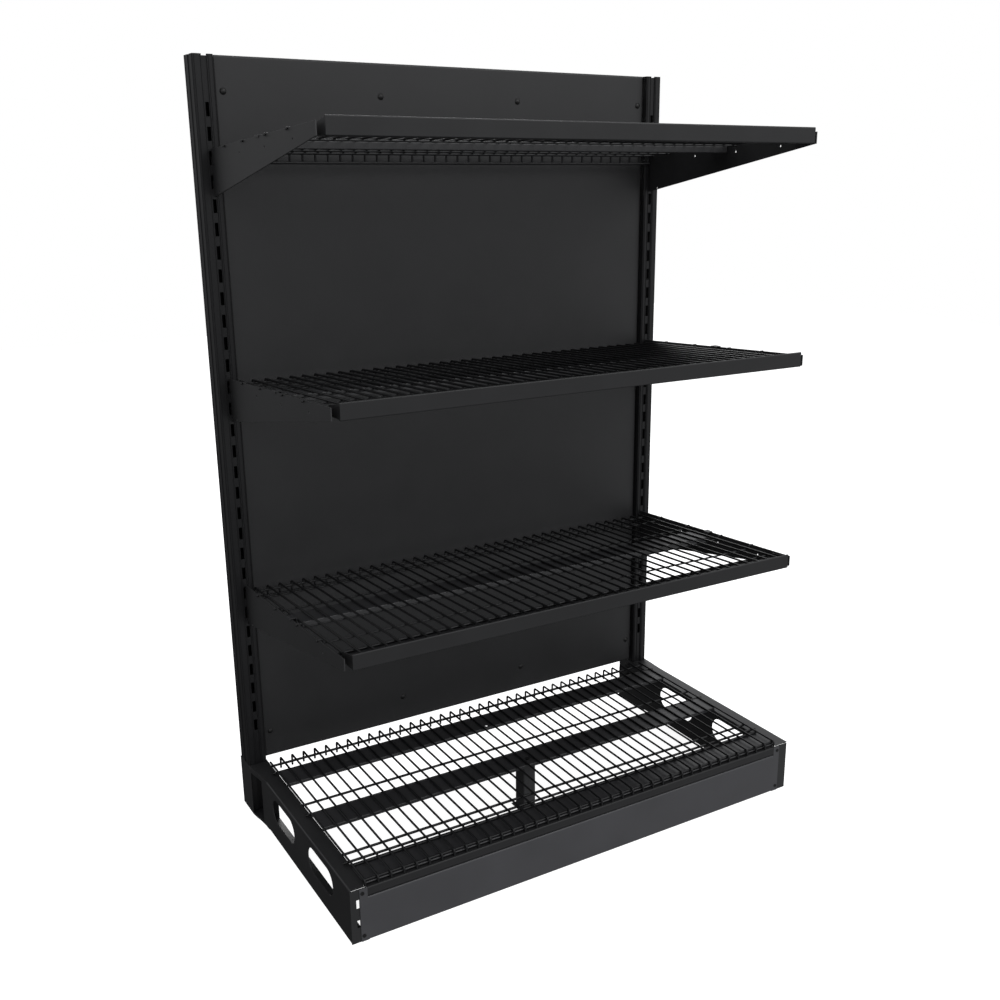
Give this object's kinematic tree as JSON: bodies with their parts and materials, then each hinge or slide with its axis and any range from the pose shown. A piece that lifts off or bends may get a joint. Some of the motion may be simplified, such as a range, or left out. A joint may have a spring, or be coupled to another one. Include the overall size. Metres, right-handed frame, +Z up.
{
  "type": "gondola shelving bay",
  "caption": "Single-sided gondola shelving bay with slotted uprights, solid back panel, wire base deck and sloping wire shelves hooked on side brackets.",
  "frame": {"origin": "on the floor, at the centre of the unit's footprint", "axes": "+X to the right seen from the front, +Y to the back, +Z up"},
  "size_m": [1.237, 0.6864, 1.798],
  "materials": {
    "upright_coat": "satin black powder coat",
    "panel_coat": "satin black powder coat",
    "rail_coat": "satin black powder coat",
    "fastener_coat": "satin black powder coat",
    "foot_coat": "satin black powder coat",
    "kick_coat": "satin black powder coat",
    "wire_coat": "satin black powder coat",
    "bracket_coat": "satin black powder coat",
    "lip_coat": "satin black powder coat",
    "sheet_coat": "satin black powder coat"
  },
  "bodies": {
    "frame": {"back_panel": "panel_coat", "foot_bolts": "fastener_coat", "foot_left": "foot_coat", "foot_right": "foot_coat", "kick_plate": "kick_coat", "kick_screws": "fastener_coat", "panel_rail_lower": "rail_coat", "panel_rail_upper": "rail_coat", "panel_rivets": "fastener_coat", "upright_left": "upright_coat", "upright_right": "upright_coat"},
    "base_deck": {"centre_leg": "sheet_coat", "deck_bar_front": "sheet_coat", "deck_bar_middle": "sheet_coat", "deck_bar_rear": "sheet_coat", "deck_lip": "lip_coat", "deck_wires": "wire_coat", "leg_bolt": "fastener_coat"},
    "shelf_1_brackets": {"shelf_1_bracket_left": "bracket_coat", "shelf_1_bracket_right": "bracket_coat"},
    "shelf_1_deck": {"shelf_1_wires": "wire_coat", "shelf_1_bar": "sheet_coat", "shelf_1_rail": "lip_coat"},
    "shelf_2_brackets": {"shelf_2_bracket_left": "bracket_coat", "shelf_2_bracket_right": "bracket_coat"},
    "shelf_2_deck": {"shelf_2_wires": "wire_coat", "shelf_2_bar": "sheet_coat", "shelf_2_rail": "lip_coat"},
    "shelf_3_brackets": {"shelf_3_bracket_left": "bracket_coat", "shelf_3_bracket_right": "bracket_coat"},
    "shelf_3_deck": {"shelf_3_wires": "wire_coat", "shelf_3_bar": "sheet_coat", "shelf_3_rail": "lip_coat"}
  },
  "joints": [
    {"name": "base_deck_lift", "type": "slide", "parent": "frame", "child": "base_deck", "axis": [0, 0, 1], "range_m": [0, 0.08]},
    {"name": "shelf_1_unhook", "type": "slide", "parent": "frame", "child": "shelf_1_brackets", "axis": [0, 0, 1], "range_m": [0, 0.011]},
    {"name": "shelf_1_deck_lift", "type": "slide", "parent": "shelf_1_brackets", "child": "shelf_1_deck", "axis": [0, 0, 1], "range_m": [0, 0.05]},
    {"name": "shelf_2_unhook", "type": "slide", "parent": "frame", "child": "shelf_2_brackets", "axis": [0, 0, 1], "range_m": [0, 0.011]},
    {"name": "shelf_2_deck_lift", "type": "slide", "parent": "shelf_2_brackets", "child": "shelf_2_deck", "axis": [0, 0, 1], "range_m": [0, 0.05]},
    {"name": "shelf_3_unhook", "type": "slide", "parent": "frame", "child": "shelf_3_brackets", "axis": [0, 0, 1], "range_m": [0, 0.011]},
    {"name": "shelf_3_deck_lift", "type": "slide", "parent": "shelf_3_brackets", "child": "shelf_3_deck", "axis": [0, 0, 1], "range_m": [0, 0.05]}
  ]
}
